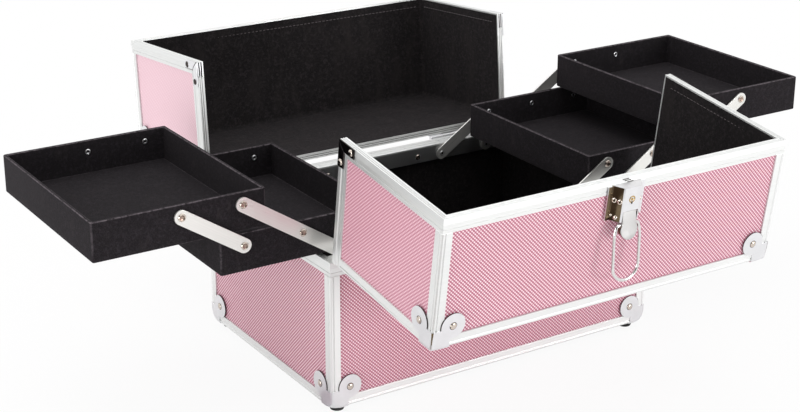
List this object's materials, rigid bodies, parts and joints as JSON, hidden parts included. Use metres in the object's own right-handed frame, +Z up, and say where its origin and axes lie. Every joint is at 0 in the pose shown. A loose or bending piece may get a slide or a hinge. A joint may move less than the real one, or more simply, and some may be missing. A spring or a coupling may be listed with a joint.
{
  "type": "makeup train case",
  "caption": "Open makeup train case: framed box on rubber feet, lid split into front and rear halves, and cantilever trays that fold out on linked arms to each side.",
  "frame": {"origin": "on the floor under the middle of the base box, which is the middle of the open case", "axes": "+X along the case's width to its right side, +Y to its rear, +Z up"},
  "size_m": [0.775, 0.5985, 0.2681],
  "materials": {
    "pink_panel": "embossed crosshatch, satin",
    "black_lining": "suede, matt",
    "tray_cloth": "suede over board, matt",
    "frame_aluminium": "satin anodised",
    "bracket_steel": "satin nickel",
    "bright_chrome": "polished",
    "arm_aluminium": "brushed",
    "lock_brass": "polished",
    "foot_rubber": "matt",
    "handle_plastic": "moulded, satin"
  },
  "bodies": {
    "base": {"base_front_panel": "pink_panel", "base_rear_panel": "pink_panel", "base_left_panel": "pink_panel", "base_right_panel": "pink_panel", "base_floor_panel": "pink_panel", "base_lining": "black_lining", "base_rim": "frame_aluminium", "base_bottom_edges": "frame_aluminium", "base_corner_posts": "frame_aluminium", "base_corner_brackets": "bracket_steel", "base_rivets": "bright_chrome", "base_feet": "foot_rubber", "pivot_strips": "arm_aluminium", "base_pivot_rivets": "bright_chrome", "base_hinges": "bracket_steel"},
    "front_lid": {"front_lid_front_panel": "pink_panel", "front_lid_top_panel": "pink_panel", "front_lid_left_panel": "pink_panel", "front_lid_right_panel": "pink_panel", "front_lid_lining": "black_lining", "front_lid_rims": "frame_aluminium", "front_lid_edges": "frame_aluminium", "front_lid_corner_brackets": "bracket_steel", "front_lid_corner_clips": "bright_chrome", "front_lid_rivets": "bright_chrome", "front_lid_hinge_leaves": "bracket_steel", "latch_housing": "bright_chrome", "latch_pin": "bright_chrome"},
    "rear_lid": {"rear_lid_rear_panel": "pink_panel", "rear_lid_top_panel": "pink_panel", "rear_lid_left_panel": "pink_panel", "rear_lid_right_panel": "pink_panel", "rear_lid_lining": "black_lining", "rear_lid_rims": "frame_aluminium", "rear_lid_edges": "frame_aluminium", "rear_lid_corner_brackets": "bracket_steel", "rear_lid_corner_clips": "bright_chrome", "rear_lid_rivets": "bright_chrome", "rear_lid_hinge_leaves": "bracket_steel", "latch_strike": "bright_chrome", "handle_brackets": "bright_chrome"},
    "lock_plug": {"lock_plug": "lock_brass"},
    "latch_lever": {"latch_lever": "bright_chrome"},
    "latch_bail": {"latch_bail": "bright_chrome"},
    "carry_handle": {"carry_handle": "handle_plastic"},
    "left_lower_tray": {"left_lower_tray": "tray_cloth", "left_lower_tray_rivets": "bright_chrome"},
    "left_upper_tray": {"left_upper_tray": "tray_cloth", "left_upper_tray_rivets": "bright_chrome"},
    "left_long_arms": {"left_long_arms": "arm_aluminium"},
    "left_lower_arms": {"left_lower_arms": "arm_aluminium"},
    "left_upper_arms": {"left_upper_arms": "arm_aluminium"},
    "right_lower_tray": {"right_lower_tray": "tray_cloth", "right_lower_tray_rivets": "bright_chrome"},
    "right_upper_tray": {"right_upper_tray": "tray_cloth", "right_upper_tray_rivets": "bright_chrome"},
    "right_long_arms": {"right_long_arms": "arm_aluminium"},
    "right_lower_arms": {"right_lower_arms": "arm_aluminium"},
    "right_upper_arms": {"right_upper_arms": "arm_aluminium"}
  },
  "joints": [
    {"name": "front_lid_hinge", "type": "hinge", "parent": "base", "child": "front_lid", "pos_m": [0, -0.1206, 0.14815], "axis": [-1, 0, 0], "range_deg": [0, 36]},
    {"name": "rear_lid_hinge", "type": "hinge", "parent": "base", "child": "rear_lid", "pos_m": [0, 0.1206, 0.14815], "axis": [1, 0, 0], "range_deg": [0, 33]},
    {"name": "lock_turn", "type": "hinge", "parent": "front_lid", "child": "lock_plug", "pos_m": [0, -0.29924, 0.22903], "axis": [0, -0.9903, -0.1392], "range_deg": [0, 90]},
    {"name": "latch_lever_hinge", "type": "hinge", "parent": "front_lid", "child": "latch_lever", "pos_m": [0, -0.29249, 0.21331], "axis": [-1, 0, 0], "range_deg": [0, 90]},
    {"name": "latch_bail_swing", "type": "hinge", "parent": "latch_lever", "child": "latch_bail", "pos_m": [0, -0.29474, 0.20639], "axis": [-1, 0, 0], "range_deg": [-12, 95]},
    {"name": "handle_flip", "type": "hinge", "parent": "rear_lid", "child": "carry_handle", "pos_m": [0, 0.29081, 0.20799], "axis": [1, 0, 0], "range_deg": [-6, 95]},
    {"name": "left_tray_fold", "type": "hinge", "parent": "base", "child": "left_long_arms", "pos_m": [-0.1395, 0, 0.1378], "axis": [0, 1, 0], "range_deg": [0, 113.56]},
    {"name": "left_lower_tray_level", "type": "hinge", "parent": "left_long_arms", "child": "left_lower_tray", "pos_m": [-0.196, 0, 0.1748], "axis": [0, 1, 0], "range_deg": [-113.56, 0]},
    {"name": "left_upper_tray_level", "type": "hinge", "parent": "left_long_arms", "child": "left_upper_tray", "pos_m": [-0.2525, 0, 0.2118], "axis": [0, 1, 0], "range_deg": [-113.56, 0]},
    {"name": "left_lower_arm_swing", "type": "hinge", "parent": "base", "child": "left_lower_arms", "pos_m": [-0.083, 0, 0.1378], "axis": [0, 1, 0], "range_deg": [0, 113.56]},
    {"name": "left_upper_arm_swing", "type": "hinge", "parent": "left_lower_tray", "child": "left_upper_arms", "pos_m": [-0.2525, 0, 0.1748], "axis": [0, 1, 0], "range_deg": [0, 113.56]},
    {"name": "right_tray_fold", "type": "hinge", "parent": "base", "child": "right_long_arms", "pos_m": [0.1395, 0, 0.1378], "axis": [0, -1, 0], "range_deg": [0, 113.56]},
    {"name": "right_lower_tray_level", "type": "hinge", "parent": "right_long_arms", "child": "right_lower_tray", "pos_m": [0.196, 0, 0.1748], "axis": [0, -1, 0], "range_deg": [-113.56, 0]},
    {"name": "right_upper_tray_level", "type": "hinge", "parent": "right_long_arms", "child": "right_upper_tray", "pos_m": [0.2525, 0, 0.2118], "axis": [0, -1, 0], "range_deg": [-113.56, 0]},
    {"name": "right_lower_arm_swing", "type": "hinge", "parent": "base", "child": "right_lower_arms", "pos_m": [0.083, 0, 0.1378], "axis": [0, -1, 0], "range_deg": [0, 113.56]},
    {"name": "right_upper_arm_swing", "type": "hinge", "parent": "right_lower_tray", "child": "right_upper_arms", "pos_m": [0.2525, 0, 0.1748], "axis": [0, -1, 0], "range_deg": [0, 113.56]}
  ],
  "couplings": [
    {"joint": "left_lower_tray_level", "follows": "left_tray_fold", "ratio": -1},
    {"joint": "left_upper_tray_level", "follows": "left_tray_fold", "ratio": -1},
    {"joint": "left_lower_arm_swing", "follows": "left_tray_fold", "ratio": 1},
    {"joint": "left_upper_arm_swing", "follows": "left_tray_fold", "ratio": 1},
    {"joint": "right_lower_tray_level", "follows": "right_tray_fold", "ratio": -1},
    {"joint": "right_upper_tray_level", "follows": "right_tray_fold", "ratio": -1},
    {"joint": "right_lower_arm_swing", "follows": "right_tray_fold", "ratio": 1},
    {"joint": "right_upper_arm_swing", "follows": "right_tray_fold", "ratio": 1}
  ]
}
